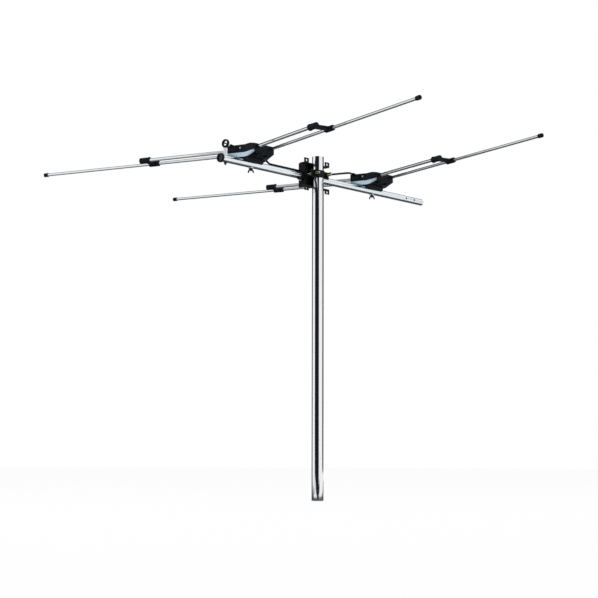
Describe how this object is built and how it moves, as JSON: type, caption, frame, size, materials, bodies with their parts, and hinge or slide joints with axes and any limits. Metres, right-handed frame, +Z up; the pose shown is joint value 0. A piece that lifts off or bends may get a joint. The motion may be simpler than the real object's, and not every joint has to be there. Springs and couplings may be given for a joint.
{
  "type": "fm antenna",
  "caption": "Mast-mounted FM receiving antenna: swept dipole elements on black feed housings along a round boom, clamped near the top of a polished tube mast.",
  "frame": {"origin": "centre of the mast's foot", "axes": "+Z up the mast, -X along the boom to the antenna's front end, Y along the elements"},
  "size_m": [0.8915, 1.343, 0.9321],
  "materials": {
    "polished_steel": "polished stainless tube",
    "boom_aluminium": "satin drawn tube",
    "bright_aluminium": "bright drawn tube and sheet",
    "black_plastic": "moulded, slightly glossy",
    "black_rubber": "smooth cable jacket",
    "black_steel": "black coating",
    "zinc_steel": "bright zinc plate",
    "yellow_zinc": "yellow zinc plate",
    "plated_brass": "nickel plate"
  },
  "bodies": {
    "mast": {"mast": "polished_steel"},
    "antenna": {"boom": "boom_aluminium", "boom_cap": "black_plastic", "phasing_cable": "black_rubber", "front_base": "black_plastic", "front_plate": "bright_aluminium", "front_block": "black_plastic", "front_cover": "black_plastic", "front_bolt": "zinc_steel", "front_washer": "zinc_steel", "front_grommet": "black_rubber", "front_cover_screw_left": "zinc_steel", "front_tube_left": "bright_aluminium", "front_rod_left": "bright_aluminium", "front_spacer_left": "black_plastic", "front_tip_left": "black_plastic", "front_cover_screw_right": "zinc_steel", "front_tube_right": "bright_aluminium", "front_rod_right": "bright_aluminium", "front_spacer_right": "black_plastic", "front_tip_right": "black_plastic", "clamp_bolt_front": "yellow_zinc", "rear_base": "black_plastic", "rear_plate": "bright_aluminium", "rear_block": "black_plastic", "rear_cover": "black_plastic", "rear_bolt": "zinc_steel", "rear_washer": "zinc_steel", "rear_grommet": "black_rubber", "rear_cover_screw_left": "zinc_steel", "rear_tube_left": "bright_aluminium", "rear_rod_left": "bright_aluminium", "rear_spacer_left": "black_plastic", "rear_tip_left": "black_plastic", "rear_cover_screw_right": "zinc_steel", "rear_tube_right": "bright_aluminium", "rear_rod_right": "bright_aluminium", "rear_spacer_right": "black_plastic", "rear_tip_right": "black_plastic", "clamp_bolt_rear": "yellow_zinc", "output_socket": "plated_brass", "bracket": "black_steel", "boom_screw": "zinc_steel", "clamp_jaw": "black_steel", "ring_post": "bright_aluminium", "cable_ring": "black_plastic", "ring_screw": "black_steel"},
    "front_wing_nut": {"front_wing_nut": "black_steel"},
    "rear_wing_nut": {"rear_wing_nut": "black_steel"},
    "clamp_nut_front": {"clamp_nut_front": "black_steel"},
    "clamp_nut_rear": {"clamp_nut_rear": "black_steel"}
  },
  "joints": [
    {"name": "azimuth", "type": "hinge", "parent": "mast", "child": "antenna", "pos_m": [0, 0, 0.878], "axis": [0, 0, 1], "continuous": true},
    {"name": "front_wing_nut_turn", "type": "hinge", "parent": "antenna", "child": "front_wing_nut", "pos_m": [-0.23, 0.032, 0.862], "axis": [0, 0, -1], "continuous": true},
    {"name": "rear_wing_nut_turn", "type": "hinge", "parent": "antenna", "child": "rear_wing_nut", "pos_m": [0.272, 0.032, 0.862], "axis": [0, 0, -1], "continuous": true},
    {"name": "clamp_nut_front_turn", "type": "hinge", "parent": "antenna", "child": "clamp_nut_front", "pos_m": [-0.024, -0.012, 0.881], "axis": [0, -1, 0], "continuous": true},
    {"name": "clamp_nut_rear_turn", "type": "hinge", "parent": "antenna", "child": "clamp_nut_rear", "pos_m": [0.024, -0.012, 0.881], "axis": [0, -1, 0], "continuous": true}
  ]
}
